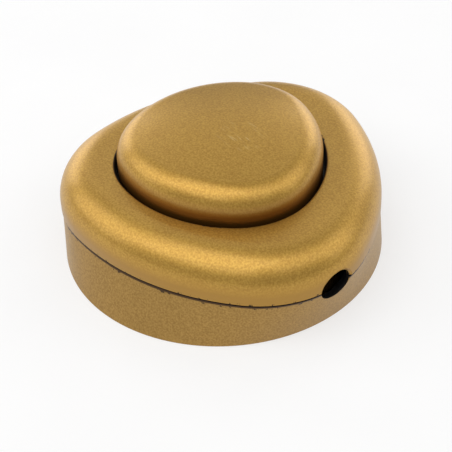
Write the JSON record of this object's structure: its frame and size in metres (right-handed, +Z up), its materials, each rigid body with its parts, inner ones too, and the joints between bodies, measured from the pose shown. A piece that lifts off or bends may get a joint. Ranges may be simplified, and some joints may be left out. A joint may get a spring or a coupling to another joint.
{
  "type": "foot switch",
  "caption": "Low rounded-triangle foot switch for a lamp cord: a gold painted two-part case on a round foot, with a domed push button and two cord entries.",
  "frame": {"origin": "on the floor, at the centre of the round foot", "axes": "+Z up through the button; +X out along one cord entry; +Y out along the other; the mirror line lies halfway between +X and +Y"},
  "size_m": [0.065, 0.065, 0.0276],
  "materials": {
    "base_plastic": "moulded ABS with metallic gold paint, more matt than the cover",
    "cover_plastic": "moulded ABS with satin metallic gold paint",
    "button_plastic": "moulded ABS with satin metallic gold paint, lightly scuffed",
    "nylon": "natural nylon",
    "dark_nylon": "black filled nylon",
    "clamp_plastic": "black moulded plastic",
    "spring_steel": "drawn spring wire",
    "brass": "stamped brass strip",
    "nickel_brass": "nickel-plated brass",
    "silver": "silver contact rivet",
    "zinc_steel": "zinc-plated steel"
  },
  "bodies": {
    "case": {"base_shell": "base_plastic", "top_cover": "cover_plastic", "mechanism_guide": "nylon", "guide_screws": "zinc_steel", "line_contact_in": "brass", "line_contact_out": "brass", "fixed_tips": "silver", "terminal_blocks": "nickel_brass", "neutral_link": "nickel_brass", "terminal_screws": "zinc_steel", "cord_clamp_in": "clamp_plastic", "cord_clamp_out": "clamp_plastic", "clamp_screws": "zinc_steel", "case_screws": "zinc_steel", "button_spring": "spring_steel"},
    "button": {"foot_button": "button_plastic", "plunger": "nylon"},
    "carrier": {"contact_carrier": "dark_nylon", "contact_bridge": "brass", "bridge_tips": "silver", "contact_spring": "spring_steel"}
  },
  "joints": [
    {"name": "button_press", "type": "slide", "parent": "case", "child": "button", "axis": [0, 0, -1], "range_m": [0, 0.0035], "stiffness_N_per_m": 1500, "springref_m": -0.004, "deforming": ["button_spring"]},
    {"name": "carrier_turn", "type": "hinge", "parent": "case", "child": "carrier", "pos_m": [0.00059, 0.00059, 0.007], "axis": [0, 0, 1], "range_deg": [0, 40]}
  ],
  "couplings": [
    {"joint": "carrier_turn", "follows": "button_press", "rad_per_m": 199.47}
  ]
}
